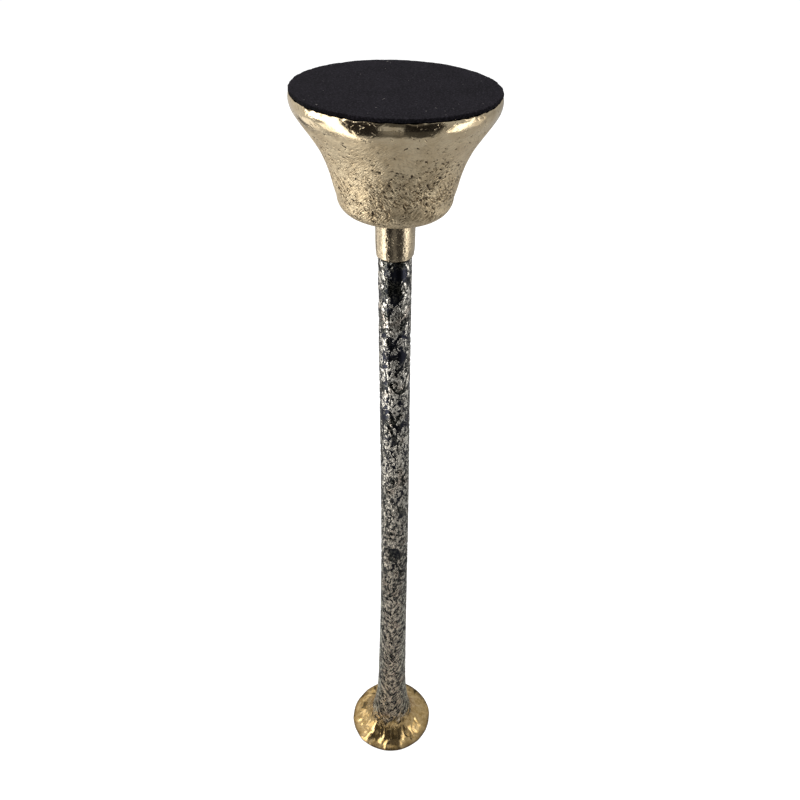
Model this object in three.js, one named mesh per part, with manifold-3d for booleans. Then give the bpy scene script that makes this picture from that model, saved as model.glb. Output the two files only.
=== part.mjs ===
// Trumpet stand: a hollow cast bronze head with a felt face, a turned collar, and a long stem that
// opens into a flared foot. A stud and nut inside the head pull the three together.
// Millimetres, +Z up. The origin is the centre of the plane that the flared foot rests on.
import * as THREE from 'three';
import { mergeVertices } from 'three/addons/utils/BufferGeometryUtils.js';
import Module from 'manifold-3d';

const wasm = await Module();
wasm.setup();

// Whole object
const HEIGHT = 515; // resting plane to the felt's face
const GAP = 0.3; // between touching pieces
const CUT = 5; // how far a cutter reaches past the face it cuts
const ROUND = 40; // facets round the large turned pieces
const SMALL_ROUND = 20; // facets round the fasteners
const MERGE_DISTANCE = 1e-4; // vertices nearer than this are one

// Felt pad
const FELT_RADIUS = 50;
const FELT_THICKNESS = 1.5;
const FELT_EDGE = 0.4;

// Head casting: its flank as radius and depth below the rim's flat top
const HEAD_TOP = HEIGHT - FELT_THICKNESS - GAP;
const HEAD_DEPTH = 59;
const HEAD_BOTTOM = HEAD_TOP - HEAD_DEPTH;
const FLANK = [
  [49.9, 0], [50.3, 3], [49.4, 6.8], [46.3, 12], [42, 18.2], [38.1, 24.4],
  [34.9, 31.2], [32.6, 38], [31, 44.4], [29.6, 49.2],
];
const FLANK_STEPS = 14;
const SHOULDER_RADIUS = 9.6; // round corner between the flank and the flat underside
const SHOULDER_END = -12; // degrees, where the corner meets the leaning flank
const SHOULDER_STEPS = 5;
const HEAD_WALL = 4.5;
const HEAD_FLOOR = 5;
const LEDGE_RADIUS = 41.5;
const REBATE_RADIUS = 45.5;
const BORE_RADIUS = 5.3; // clearance bore and tapped bore of the stud

// Backing disc and its screws
const DISC_THICKNESS = 3;
const DISC_RADIUS = REBATE_RADIUS - GAP;
const SCREW_COUNT = 3;
const SCREW_CIRCLE = 36.5;
const SCREW_RADIUS = 2;
const SCREW_LENGTH = 12;
const SCREW_TIP = 0.5; // chamfer at its point
const SCREW_HOLE_DEPTH = 11; // below the ledge
const SCREW_HEAD_RADIUS = 3.9;
const SCREW_HEAD_HEIGHT = 2;
const SCREW_HEAD_EDGE = 0.2; // straight edge above its cone
const SCREW_SINK = 0.2; // below the disc's face
const SOCKET_RADIUS = 1.3;
const SOCKET_DEPTH = 1.5;
const BOSS_RADIUS = 5.5;
const BOSS_HEIGHT = 20;

// Collar
const COLLAR_RADIUS = 10.5;
const COLLAR_LIP_RADIUS = 9.9;
const COLLAR_TAPER = 7.5; // height of the tapered lower part
const COLLAR_BLEND = 2; // height over which the taper runs out
const COLLAR_BLEND_DROP = 0.1;
const COLLAR_TOP = HEAD_BOTTOM - GAP;
const COLLAR_BOTTOM = 429.7;
const COLLAR_WEB = 8;

// Stem and flared foot, as radius and height
const SPIGOT_RADIUS = 7.5;
const SPIGOT_CHAMFER = 0.8;
const SPIGOT_TOP = COLLAR_TOP - COLLAR_WEB - GAP;
const SHOULDER_HEIGHT = COLLAR_BOTTOM - GAP;
const STEM_OUTLINE = [
  [32.1, 1.1], [24.6, 4.4], [18.8, 9.8], [14.8, 19], [12.5, 33], [11.1, 51],
  [10.3, 91], [9.6, 140], [9.2, 230], [9.1, 340], [9.2, SHOULDER_HEIGHT],
];
const STEM_STEPS = 22;
const RIM_RADIUS = 32.2;
const RIM_ROUND = 0.6;
const RIM_LAND = 1.2; // width of the flat ring that the foot rests on
const MOUTH_OUTLINE = [[0, 46], [4.6, 43.5], [7.6, 33], [10.6, 20.5], [15.4, 10], [22, 4.2]];
const MOUTH_STEPS = 10;
const TAPPED_DEPTH = 24;

// Stud, washers and nut
const STUD_RADIUS = 5;
const STUD_LENGTH = 52;
const STUD_CHAMFER = 1;
const WASHER_RADIUS = 10;
const WASHER_HEIGHT = 2;
const SPRING_RADIUS = 8.8;
const SPRING_HEIGHT = 2.5;
const SPRING_SLIT = 1.4;
const NUT_ACROSS_CORNERS = 18.5;
const NUT_HEIGHT = 8;
const NUT_BEVEL = 1;

const bronze = { color: 0xb8a67e, roughness: 0.35, metalness: 1 };
const collarBronze = { color: 0xb9a173, roughness: 0.25, metalness: 1 };
const patina = { color: 0x716d66, roughness: 0.45, metalness: 0.9 };
const felt = { color: 0x17161b, roughness: 1, metalness: 0 };
const sheetBrass = { color: 0xa98f52, roughness: 0.4, metalness: 1 };
const steel = { color: 0x8c8e90, roughness: 0.4, metalness: 1 };

const stand = new THREE.Group();

function add(name, look, geometry, x, y, z) {
  const mesh = new THREE.Mesh(geometry, new THREE.MeshStandardMaterial(look));
  mesh.name = name;
  mesh.position.set(x, y, z);
  stand.add(mesh);
}

// A body turned about +Z from an outline of [radius, height] points, taken from bottom to top
function turned(outline, facets) {
  const points = outline.map(([radius, height]) => new THREE.Vector2(radius, height));
  return new THREE.LatheGeometry(points, facets).rotateX(Math.PI / 2);
}

// The same for a ring, whose outline closes on itself
function turnedRing(outline, facets) {
  return turned([...outline, outline[0]], facets);
}

function cylinder(radius, bottom, top, facets) {
  return turned([[0, bottom], [radius, bottom], [radius, top], [0, top]], facets);
}

// A smooth outline through a few stations
function smooth(stations, steps) {
  const places = stations.map(([radius, height]) => new THREE.Vector3(radius, height, 0));
  const curve = new THREE.CatmullRomCurve3(places, false, 'centripetal');
  return curve.getPoints(steps).map((place) => [place.x, place.y]);
}

// Points on an arc of the turning section, angles in degrees from the +radius direction
function arc(radius, height, size, from, to, steps) {
  return Array.from({ length: steps + 1 }, (_, i) => {
    const angle = THREE.MathUtils.degToRad(from + ((to - from) * i) / steps);
    return [radius + size * Math.cos(angle), height + size * Math.sin(angle)];
  });
}

// An outline moved sideways towards the axis by a wall's thickness
function inset(outline, wall) {
  return outline.slice(1, -1).map(([radius, height], i) => {
    const [r0, h0] = outline[i];
    const [r1, h1] = outline[i + 2];
    const length = Math.hypot(r1 - r0, h1 - h0);
    return [radius - (wall * (h1 - h0)) / length, height + (wall * (r1 - r0)) / length];
  });
}

function toSolid(geometry) {
  const bare = geometry.clone().deleteAttribute('normal').deleteAttribute('uv');
  const merged = mergeVertices(bare, MERGE_DISTANCE);
  const corners = merged.index.array;
  const triangles = [];
  for (let i = 0; i < corners.length; i += 3) {
    const [a, b, c] = corners.slice(i, i + 3);
    if (a !== b && b !== c && c !== a) triangles.push(a, b, c);
  }
  const mesh = new wasm.Mesh({
    numProp: 3,
    vertProperties: merged.attributes.position.array,
    triVerts: new Uint32Array(triangles),
  });
  return new wasm.Manifold(mesh);
}

function toGeometry(solid) {
  const { vertProperties, triVerts } = solid.getMesh();
  const geometry = new THREE.BufferGeometry();
  geometry.setAttribute('position', new THREE.BufferAttribute(vertProperties, 3));
  geometry.setIndex(new THREE.BufferAttribute(triVerts, 1));
  geometry.computeVertexNormals();
  return geometry;
}

function cutAway(body, cutters) {
  const solid = cutters.reduce((rest, cutter) => rest.subtract(toSolid(cutter)), toSolid(body));
  return toGeometry(solid);
}

// Centres of the backing screws, on a circle
const screwPlaces = Array.from({ length: SCREW_COUNT }, (_, i) => {
  const angle = Math.PI / 2 + (i * 2 * Math.PI) / SCREW_COUNT;
  return [SCREW_CIRCLE * Math.cos(angle), SCREW_CIRCLE * Math.sin(angle)];
});

// The felt's underside is at height 0
function feltPad() {
  return turned([
    [0, 0], [FELT_RADIUS, 0], [FELT_RADIUS, FELT_THICKNESS - FELT_EDGE],
    [FELT_RADIUS - FELT_EDGE, FELT_THICKNESS], [0, FELT_THICKNESS],
  ], ROUND);
}

// The disc's underside is at height 0; each hole is countersunk from above
function backingDisc() {
  const sinkTop = SCREW_HEAD_RADIUS + GAP;
  const hole = SCREW_RADIUS + GAP;
  const sinkBottom = DISC_THICKNESS - SCREW_SINK - SCREW_HEAD_HEIGHT;
  const cutters = screwPlaces.map(([x, y]) => turned([
    [0, -CUT], [hole, -CUT], [hole, sinkBottom], [sinkTop, DISC_THICKNESS - SCREW_SINK],
    [sinkTop, DISC_THICKNESS + CUT], [0, DISC_THICKNESS + CUT],
  ], SMALL_ROUND).translate(x, y, 0));
  return cutAway(cylinder(DISC_RADIUS, 0, DISC_THICKNESS, ROUND), cutters);
}

// The screw's flat top is at height 0, with a hexagon socket in it
function backingScrew() {
  const body = turned([
    [0, -SCREW_LENGTH], [SCREW_RADIUS - SCREW_TIP, -SCREW_LENGTH],
    [SCREW_RADIUS, SCREW_TIP - SCREW_LENGTH], [SCREW_RADIUS, -SCREW_HEAD_HEIGHT],
    [SCREW_HEAD_RADIUS, -SCREW_HEAD_EDGE], [SCREW_HEAD_RADIUS, 0], [0, 0],
  ], SMALL_ROUND);
  return cutAway(body, [cylinder(SOCKET_RADIUS, -SOCKET_DEPTH, CUT, 6)]);
}

// The head's flank from its foot up to the rim, above the flat underside
function headFlank() {
  return smooth(FLANK, FLANK_STEPS).map(([radius, depth]) => [radius, HEAD_DEPTH - depth]).reverse();
}

// A round corner of the given size, concentric with the head's shoulder
function shoulder(size) {
  const [footRadius] = headFlank()[0];
  return arc(
    footRadius - SHOULDER_RADIUS, SHOULDER_RADIUS, size, -90, SHOULDER_END, SHOULDER_STEPS,
  );
}

// The head's underside is at height 0. Its hollow follows the flank, with a boss for each screw.
function headCasting() {
  const ledge = HEAD_DEPTH - DISC_THICKNESS - GAP;
  const outside = [[0, 0], ...shoulder(SHOULDER_RADIUS), ...headFlank(), [0, HEAD_DEPTH]];
  const hollow = turned([
    [0, HEAD_FLOOR], ...shoulder(SHOULDER_RADIUS - HEAD_FLOOR), ...inset(headFlank(), HEAD_WALL),
    [LEDGE_RADIUS + CUT, HEAD_DEPTH + CUT], [0, HEAD_DEPTH + CUT],
  ], ROUND);
  const bosses = screwPlaces.map(([x, y]) => cylinder(
    BOSS_RADIUS, ledge - BOSS_HEIGHT, ledge + CUT, SMALL_ROUND,
  ).translate(x, y, 0));
  const holes = screwPlaces.map(([x, y]) => cylinder(
    SCREW_RADIUS + GAP, ledge - SCREW_HOLE_DEPTH, ledge + CUT, SMALL_ROUND,
  ).translate(x, y, 0));
  const throat = toSolid(cylinder(LEDGE_RADIUS, 0, HEAD_DEPTH + CUT, ROUND));
  const space = bosses.reduce(
    (rest, boss) => rest.subtract(toSolid(boss)), toSolid(hollow).intersect(throat),
  );
  return cutAway(turned(outside, ROUND), [
    toGeometry(space),
    cylinder(REBATE_RADIUS, ledge, HEAD_DEPTH + CUT, ROUND),
    cylinder(BORE_RADIUS, -CUT, HEAD_FLOOR + CUT, SMALL_ROUND),
    ...holes,
  ]);
}

// The collar's lip is at height 0; its web, at the top, is bored for the stud
function collar() {
  const top = COLLAR_TOP - COLLAR_BOTTOM;
  const socket = SPIGOT_RADIUS + GAP;
  return turnedRing([
    [socket, 0], [COLLAR_LIP_RADIUS, 0], [COLLAR_RADIUS - COLLAR_BLEND_DROP, COLLAR_TAPER],
    [COLLAR_RADIUS, COLLAR_TAPER + COLLAR_BLEND], [COLLAR_RADIUS, top], [BORE_RADIUS, top],
    [BORE_RADIUS, top - COLLAR_WEB], [socket, top - COLLAR_WEB],
  ], ROUND);
}

// The stem's foot is at height 0: a hollow mouth, the flare, the rod, and a tapped spigot on top
function stem() {
  const land = RIM_RADIUS - RIM_ROUND - RIM_LAND;
  return turned([
    ...smooth(MOUTH_OUTLINE, MOUTH_STEPS), [land, 0], [RIM_RADIUS - RIM_ROUND, 0],
    [RIM_RADIUS, RIM_ROUND], ...smooth(STEM_OUTLINE, STEM_STEPS),
    [SPIGOT_RADIUS, SHOULDER_HEIGHT], [SPIGOT_RADIUS, SPIGOT_TOP - SPIGOT_CHAMFER],
    [SPIGOT_RADIUS - SPIGOT_CHAMFER, SPIGOT_TOP], [BORE_RADIUS, SPIGOT_TOP],
    [BORE_RADIUS, SPIGOT_TOP - TAPPED_DEPTH + BORE_RADIUS / 2], [0, SPIGOT_TOP - TAPPED_DEPTH],
  ], ROUND);
}

function clampStud() {
  const tip = STUD_RADIUS - STUD_CHAMFER;
  return turned([
    [0, 0], [tip, 0], [STUD_RADIUS, STUD_CHAMFER], [STUD_RADIUS, STUD_LENGTH - STUD_CHAMFER],
    [tip, STUD_LENGTH], [0, STUD_LENGTH],
  ], SMALL_ROUND);
}

function washer(radius, height) {
  return turnedRing([
    [BORE_RADIUS, 0], [radius, 0], [radius, height], [BORE_RADIUS, height],
  ], SMALL_ROUND);
}

function springWasher() {
  const slit = new THREE.BoxGeometry(SPRING_RADIUS, SPRING_SLIT, SPRING_HEIGHT + 2 * CUT);
  return cutAway(washer(SPRING_RADIUS, SPRING_HEIGHT), [slit.translate(SPRING_RADIUS, 0, 0)]);
}

function clampNut() {
  const corner = NUT_ACROSS_CORNERS / 2;
  const bevel = turned([
    [0, 0], [corner - NUT_BEVEL, 0], [corner, NUT_BEVEL], [corner, NUT_HEIGHT - NUT_BEVEL],
    [corner - NUT_BEVEL, NUT_HEIGHT], [0, NUT_HEIGHT],
  ], ROUND);
  const hexagon = toSolid(cylinder(corner, -CUT, NUT_HEIGHT + CUT, 6));
  const bore = toSolid(cylinder(BORE_RADIUS, -CUT, NUT_HEIGHT + CUT, SMALL_ROUND));
  return toGeometry(toSolid(bevel).intersect(hexagon).subtract(bore));
}

const floorTop = HEAD_BOTTOM + HEAD_FLOOR;
const washerBottom = floorTop + GAP;
const springBottom = washerBottom + WASHER_HEIGHT + GAP;
const nutBottom = springBottom + SPRING_HEIGHT + GAP;
const studBottom = SPIGOT_TOP - TAPPED_DEPTH + BORE_RADIUS / 2 + GAP;

add('felt_pad', felt, feltPad(), 0, 0, HEIGHT - FELT_THICKNESS);
add('backing_disc', sheetBrass, backingDisc(), 0, 0, HEAD_TOP - DISC_THICKNESS);
screwPlaces.forEach(([x, y], i) => {
  add(`backing_screw_${i + 1}`, steel, backingScrew(), x, y, HEAD_TOP - SCREW_SINK);
});
add('head_casting', bronze, headCasting(), 0, 0, HEAD_BOTTOM);
add('collar', collarBronze, collar(), 0, 0, COLLAR_BOTTOM);
add('stem', patina, stem(), 0, 0, 0);
add('clamp_stud', steel, clampStud(), 0, 0, studBottom);
add('flat_washer', steel, washer(WASHER_RADIUS, WASHER_HEIGHT), 0, 0, washerBottom);
add('spring_washer', steel, springWasher(), 0, 0, springBottom);
add('clamp_nut', steel, clampNut(), 0, 0, nutBottom);

export default stand;
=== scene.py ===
import math

import bmesh
import bpy
import numpy as np
from bpy.props import FloatProperty, FloatVectorProperty, PointerProperty
from mathutils import Matrix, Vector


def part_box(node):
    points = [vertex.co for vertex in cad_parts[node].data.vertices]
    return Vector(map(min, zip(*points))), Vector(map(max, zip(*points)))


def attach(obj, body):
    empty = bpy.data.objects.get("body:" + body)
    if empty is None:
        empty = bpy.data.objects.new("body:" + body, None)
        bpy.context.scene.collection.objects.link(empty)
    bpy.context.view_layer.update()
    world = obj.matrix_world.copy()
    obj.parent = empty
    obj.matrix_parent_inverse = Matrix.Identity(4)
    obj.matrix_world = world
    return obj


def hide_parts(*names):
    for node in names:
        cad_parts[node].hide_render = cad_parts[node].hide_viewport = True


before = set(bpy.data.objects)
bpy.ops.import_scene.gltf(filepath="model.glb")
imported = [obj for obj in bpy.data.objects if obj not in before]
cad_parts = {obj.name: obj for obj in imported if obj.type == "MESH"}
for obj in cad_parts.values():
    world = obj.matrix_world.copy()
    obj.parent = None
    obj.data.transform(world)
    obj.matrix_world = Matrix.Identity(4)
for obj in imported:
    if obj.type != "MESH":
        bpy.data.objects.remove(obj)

bl_info = {
    "name": "Trumpet stand",
    "version": (1, 0, 0),
    "blender": (4, 5, 0),
    "location": "3D View > Sidebar > Trumpet Stand",
    "description": "Builds a cast bronze trumpet stand with a felt face round its CAD frame",
    "category": "Object",
}

MM = 0.001
SEED = 7
GAP = 0.3 * MM
SHARP = math.radians(35)

# Heights and radii that the pieces take from the frame, in metres
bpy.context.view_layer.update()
FELT_LOW, FELT_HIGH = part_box("felt_pad")
HEAD_LOW, HEAD_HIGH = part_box("head_casting")
COLLAR_LOW, COLLAR_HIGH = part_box("collar")
STEM_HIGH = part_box("stem")[1]
DISC_LOW, DISC_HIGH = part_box("backing_disc")
STUD_LOW, STUD_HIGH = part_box("clamp_stud")

FELT_RADIUS = FELT_HIGH.x
HEAD_RADIUS = HEAD_HIGH.x
HEAD_HEIGHT = HEAD_HIGH.z - HEAD_LOW.z
COLLAR_RADIUS = COLLAR_HIGH.x
FOOT_RADIUS = STEM_HIGH.x
BORE_RADIUS = STUD_HIGH.x + GAP
SHOULDER_HEIGHT = COLLAR_LOW.z

# The head's flank: radius as a share of the largest, depth below the rim as a share of the height
FLANK = [
    (0.992, 0.0), (1.0, 0.051), (0.982, 0.115), (0.92, 0.203), (0.835, 0.308), (0.757, 0.414),
    (0.694, 0.529), (0.648, 0.644), (0.616, 0.753), (0.588, 0.834),
]
SHOULDER_ROUND = 9.6 * MM
HEAD_WALL = 4.5 * MM
HEAD_FLOOR = 5 * MM
LEDGE_RADIUS = 41.5 * MM
BOSS_RADIUS = 5.5 * MM
BOSS_HEIGHT = 20 * MM
SCREW_BORE = 2.3 * MM
SCREW_DEPTH = 11 * MM
BOSS_FACETS = 32
CORE_FACETS = 72
WELD = 0.002 * MM
HEAD_EDGE = 0.7 * MM

# The stem and flared foot: radius in millimetres, height in millimetres
STEM_FLARE = [(32.1, 1.1), (24.6, 4.4), (18.8, 9.8), (14.8, 19), (12.5, 33), (11.1, 51), (10.3, 91)]
STEM_ROD = [(10.3, 91), (9.6, 140), (9.2, 230), (9.1, 340), (9.2, 429.4)]
MOUTH = [(0, 46), (4.6, 43.5), (7.6, 33), (10.6, 20.5), (15.4, 10), (22, 4.2)]


class Wire:
    """A node's output. Arithmetic on it adds Math nodes to its tree."""

    def __init__(self, tree, socket):
        self.tree = tree
        self.socket = socket

    def math(self, operation, *others, clamp=False):
        settings = {"operation": operation, "use_clamp": clamp}
        return self.tree.node("ShaderNodeMath", settings, dict(enumerate([self, *others])))

    def __add__(self, other):
        return self.math("ADD", other)

    __radd__ = __add__

    def __sub__(self, other):
        return self.math("SUBTRACT", other)

    def __rsub__(self, other):
        return self.tree.node("ShaderNodeMath", {"operation": "SUBTRACT"}, {0: other, 1: self})

    def __mul__(self, other):
        return self.math("MULTIPLY", other)

    __rmul__ = __mul__

    def __truediv__(self, other):
        return self.math("DIVIDE", other)

    def __pow__(self, other):
        return self.math("POWER", other)

    def step(self, low, high):
        """0 below low, 1 above high, and smooth between them."""
        settings = {"interpolation_type": "SMOOTHSTEP", "clamp": True}
        return self.tree.node(
            "ShaderNodeMapRange", settings,
            {"Value": self, "From Min": low, "From Max": high, "To Min": 0.0, "To Max": 1.0},
        )

    def vector(self, operation, *others, output=0):
        """Vector Math on this output."""
        values = dict(enumerate([self, *others]))
        if operation == "SCALE":
            values = {0: self, "Scale": others[0]}
        return self.tree.node("ShaderNodeVectorMath", {"operation": operation}, values, output)


class Tree:
    """A node tree, and the one way that nodes are added to it."""

    def __init__(self, tree):
        self.tree = tree

    def node(self, kind, settings=None, values=None, output=0):
        made = self.tree.nodes.new(kind)
        for name, value in (settings or {}).items():
            setattr(made, name, value)
        for name, value in (values or {}).items():
            if isinstance(value, Wire):
                self.tree.links.new(value.socket, made.inputs[name])
            else:
                made.inputs[name].default_value = value
        return Wire(self, made.outputs[output] if len(made.outputs) else None)

    def mix(self, factor, first, second):
        """A colour between two others."""
        return self.node(
            "ShaderNodeMix", {"data_type": "RGBA"}, {0: factor, 6: first, 7: second}, output=2
        )

    def noise(self, place, size, detail=2.0, roughness=0.5, distortion=0.0, output=0):
        """Noise whose features are about size across, in the units of place."""
        return self.node(
            "ShaderNodeTexNoise", {"noise_dimensions": "3D"},
            {"Vector": place, "Scale": 1.0 / size, "Detail": detail, "Roughness": roughness,
             "Distortion": distortion}, output,
        )

    def cells(self, place, size, output):
        """Scattered points about size apart: the distance to the nearest, or its random colour."""
        return self.node(
            "ShaderNodeTexVoronoi", {"voronoi_dimensions": "3D", "feature": "F1"},
            {"Vector": place, "Scale": 1.0 / size, "Randomness": 1.0}, output,
        )

    def parts(self, vector):
        """The x, y and z of a vector."""
        made = self.node("ShaderNodeSeparateXYZ", {}, {0: vector})
        return [Wire(self, socket) for socket in made.socket.node.outputs]

    def join(self, x, y, z):
        return self.node("ShaderNodeCombineXYZ", {}, {0: x, 1: y, 2: z})


def color(rgb):
    return (*rgb, 1.0)


def new_material(name):
    """A material with an empty tree, and the object's own coordinates in millimetres."""
    material = bpy.data.materials.new(name)
    material.use_nodes = True
    material.node_tree.nodes.clear()
    tree = Tree(material.node_tree)
    place = tree.node("ShaderNodeTexCoord", output="Object").vector("SCALE", 1 / MM)
    return material, tree, place


def finish_material(tree, values):
    shader = tree.node("ShaderNodeBsdfPrincipled", {}, values)
    tree.node("ShaderNodeOutputMaterial", {}, {"Surface": shader})


def bump(tree, height, distance, strength=1.0):
    return tree.node(
        "ShaderNodeBump", {}, {"Strength": strength, "Distance": distance, "Height": height}
    )


def twist(tree, place, turn):
    """Places turned about the upright axis by an angle that grows with height, in radians per mm."""
    x, y, z = tree.parts(place)
    angle = z * turn
    cosine = angle.math("COSINE")
    sine = angle.math("SINE")
    return tree.join(x * cosine - y * sine, x * sine + y * cosine, z)


def smooth(stations, steps):
    """Points on a smooth curve through the stations, with steps points to each stretch."""
    p = np.array(stations, float)
    p = np.vstack([2 * p[0] - p[1], p, 2 * p[-1] - p[-2]])
    points = []
    for a, b, c, d in zip(p, p[1:], p[2:], p[3:]):
        ab, bc, cd = (np.sqrt(np.linalg.norm(s - t)) for s, t in ((b, a), (c, b), (d, c)))
        into = ((b - a) / ab - (c - a) / (ab + bc) + (c - b) / bc) * bc
        out = ((c - b) / bc - (d - b) / (bc + cd) + (d - c) / cd) * bc
        for t in np.linspace(0, 1, steps, endpoint=False):
            points.append(b + t * into + t * t * (3 * (c - b) - 2 * into - out)
                          + t ** 3 * (2 * (b - c) + into + out))
    return [*points, p[-2]]


def metres(points):
    """Points given in millimetres, in metres."""
    return [(r * MM, z * MM) for r, z in points]


def even(points, spacing):
    """The same outline with its points an even distance apart."""
    p = np.array(points, float)
    along = np.concatenate([[0], np.cumsum(np.linalg.norm(np.diff(p, axis=0), axis=1))])
    count = max(1, round(along[-1] / spacing))
    at = np.linspace(0, along[-1], count + 1)
    return np.column_stack([np.interp(at, along, p[:, 0]), np.interp(at, along, p[:, 1])])


def arc(radius, height, size, start, end, spacing):
    """Points round an arc of the turning section, angles in degrees from the outward direction."""
    count = max(2, round(abs(math.radians(end - start)) * size / spacing))
    angles = np.radians(np.linspace(start, end, count + 1))
    return np.column_stack([radius + size * np.cos(angles), height + size * np.sin(angles)])


def inset(points, wall):
    """An outline moved towards the axis by a wall's thickness, taken from bottom to top."""
    p = np.array(points, float)
    along = np.gradient(p, axis=0)
    along /= np.linalg.norm(along, axis=1)[:, None]
    return p + wall * np.column_stack([-along[:, 1], along[:, 0]])


def turned(name, rings, loop=False):
    """A body turned about the upright axis from rings of (radius, height, facets, skin).

    A ring of radius 0 is one point. Where the facets go from n to 3n, the two rings are stitched.
    Skin is kept as a point attribute: 1 where the surface is worked, 0 where it is plain. The stem's
    material also paints shade where skin is below 1, on the foot's rim and under it.
    """
    points, faces, skins, starts = [], [], [], []
    for radius, height, facets, skin in rings:
        count = 1 if radius == 0 else facets
        turns = np.arange(count) * 2 * np.pi / count
        starts.append((len(points), count))
        points.extend(zip(radius * np.cos(turns), radius * np.sin(turns), [height] * count))
        skins.extend([skin] * count)
    pairs = list(zip(starts, starts[1:]))
    if loop:
        pairs.append((starts[-1], starts[0]))
    for (a, many_a), (b, many_b) in pairs:
        faces.extend(stitch(a, many_a, b, many_b))
    mesh = bpy.data.meshes.new(name)
    mesh.from_pydata(points, [], faces)
    mesh.attributes.new("skin", "FLOAT", "POINT").data.foreach_set("value", skins)
    face_outwards(mesh)
    mesh.shade_smooth()
    mesh.set_sharp_from_angle(angle=SHARP)
    piece = bpy.data.objects.new(name, mesh)
    bpy.context.scene.collection.objects.link(piece)
    return piece


def stitch(a, many_a, b, many_b):
    """The faces between two rings that start at points a and b."""
    if many_a == 1:
        return [(a, b + (i + 1) % many_b, b + i) for i in range(many_b)]
    if many_b == 1:
        return [(a + i, a + (i + 1) % many_a, b) for i in range(many_a)]
    if many_a == many_b:
        return [(a + i, a + (i + 1) % many_a, b + (i + 1) % many_b, b + i) for i in range(many_a)]
    if many_a > many_b:
        return [face[::-1] for face in stitch(b, many_b, a, many_a)]
    faces = []
    for i in range(many_a):
        near, far = a + i, a + (i + 1) % many_a
        first, second, third, fourth = (b + (3 * i + k) % many_b for k in range(4))
        faces += [(near, second, first), (near, far, third, second), (far, fourth, third)]
    return faces


def face_outwards(mesh):
    """Turns the faces round if the closed body's volume comes out negative."""
    mesh.calc_loop_triangles()
    co = np.empty(len(mesh.vertices) * 3, np.float32)
    mesh.vertices.foreach_get("co", co)
    corners = np.empty(len(mesh.loop_triangles) * 3, np.int32)
    mesh.loop_triangles.foreach_get("vertices", corners)
    a, b, c = co.reshape(-1, 3)[corners].reshape(-1, 3, 3).transpose(1, 0, 2)
    if np.einsum("ij,ij->", a, np.cross(b, c)) < 0:
        mesh.flip_normals()


def geometry_tree(name, sizes):
    """A geometry tree with a named input for each size, and a material."""
    group = bpy.data.node_groups.new(name, "GeometryNodeTree")
    face = group.interface
    face.new_socket("Geometry", in_out="INPUT", socket_type="NodeSocketGeometry")
    for size in sizes:
        face.new_socket(size, in_out="INPUT", socket_type="NodeSocketFloat")
    face.new_socket("Material", in_out="INPUT", socket_type="NodeSocketMaterial")
    face.new_socket("Geometry", in_out="OUTPUT", socket_type="NodeSocketGeometry")
    tree = Tree(group)
    entry = tree.node("NodeGroupInput")
    inputs = {s.name: Wire(tree, s) for s in entry.socket.node.outputs if s.name}
    return tree, inputs


def close_tree(tree, geometry, material):
    real = tree.node("GeometryNodeRealizeInstances", {}, {"Geometry": geometry})
    painted = tree.node("GeometryNodeSetMaterial", {}, {"Geometry": real, "Material": material})
    tree.node("NodeGroupOutput", {}, {"Geometry": painted})


def apply_tree(piece, tree, sizes, material):
    """Runs a geometry tree on a piece and keeps the result as its plain mesh."""
    modifier = piece.modifiers.new(tree.tree.name, "NODES")
    modifier.node_group = tree.tree
    for item in tree.tree.interface.items_tree:
        if item.in_out == "INPUT" and item.name in sizes:
            modifier[item.identifier] = sizes[item.name]
        if item.in_out == "INPUT" and item.name == "Material":
            modifier[item.identifier] = material
    graph = bpy.context.evaluated_depsgraph_get()
    mesh = bpy.data.meshes.new_from_object(piece.evaluated_get(graph))
    piece.modifiers.remove(modifier)
    piece.data = mesh
    mesh.name = piece.name


def push(tree, geometry, offset):
    """The geometry with each point moved along its normal, offset in metres."""
    normal = tree.node("GeometryNodeInputNormal")
    return tree.node(
        "GeometryNodeSetPosition", {},
        {"Geometry": geometry, "Offset": normal.vector("SCALE", offset)},
    )


def place_in_mm(tree):
    return tree.node("GeometryNodeInputPosition").vector("SCALE", 1 / MM)


def skin_of(tree):
    """The skin attribute, in a geometry tree or a material."""
    if tree.tree.type == "GEOMETRY":
        return tree.node("GeometryNodeInputNamedAttribute", {"data_type": "FLOAT"}, {"Name": "skin"})
    return tree.node("ShaderNodeAttribute", {"attribute_name": "skin"}, {}, output="Fac")


# Felt

def felt_material(settings):
    material, tree, place = new_material("black_felt")
    nap = tree.noise(place, 0.9, detail=4.0, roughness=0.75)
    cloud = tree.noise(place, 14.0, detail=3.0)
    shade = tree.mix(cloud.step(0.3, 0.7), color((0.0045, 0.0042, 0.0052)), color(settings.tint))
    shade = tree.mix(nap.step(0.44, 0.74), shade, color((0.029, 0.026, 0.033)))
    fibre = tree.noise(place.vector("MULTIPLY", (0.35, 1.6, 1.0)), 0.5, detail=2.0)
    height = nap * 0.7 + fibre * 0.5
    finish_material(tree, {
        "Base Color": shade, "Roughness": 0.95, "Specular IOR Level": 0.05,
        "Sheen Weight": 0.02, "Sheen Roughness": 0.5, "Sheen Tint": color((0.75, 0.7, 0.85)),
        "Normal": bump(tree, height, 0.25 * MM, 0.6),
    })
    return material


def lint_material():
    material, tree, place = new_material("pale_lint")
    tone = tree.noise(place, 3.0, detail=2.0)
    base = tree.mix(tone.step(0.35, 0.65), color((0.12, 0.11, 0.11)), color((0.5, 0.47, 0.44)))
    finish_material(tree, {"Base Color": base, "Roughness": 0.9, "Specular IOR Level": 0.1})
    return material


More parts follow.
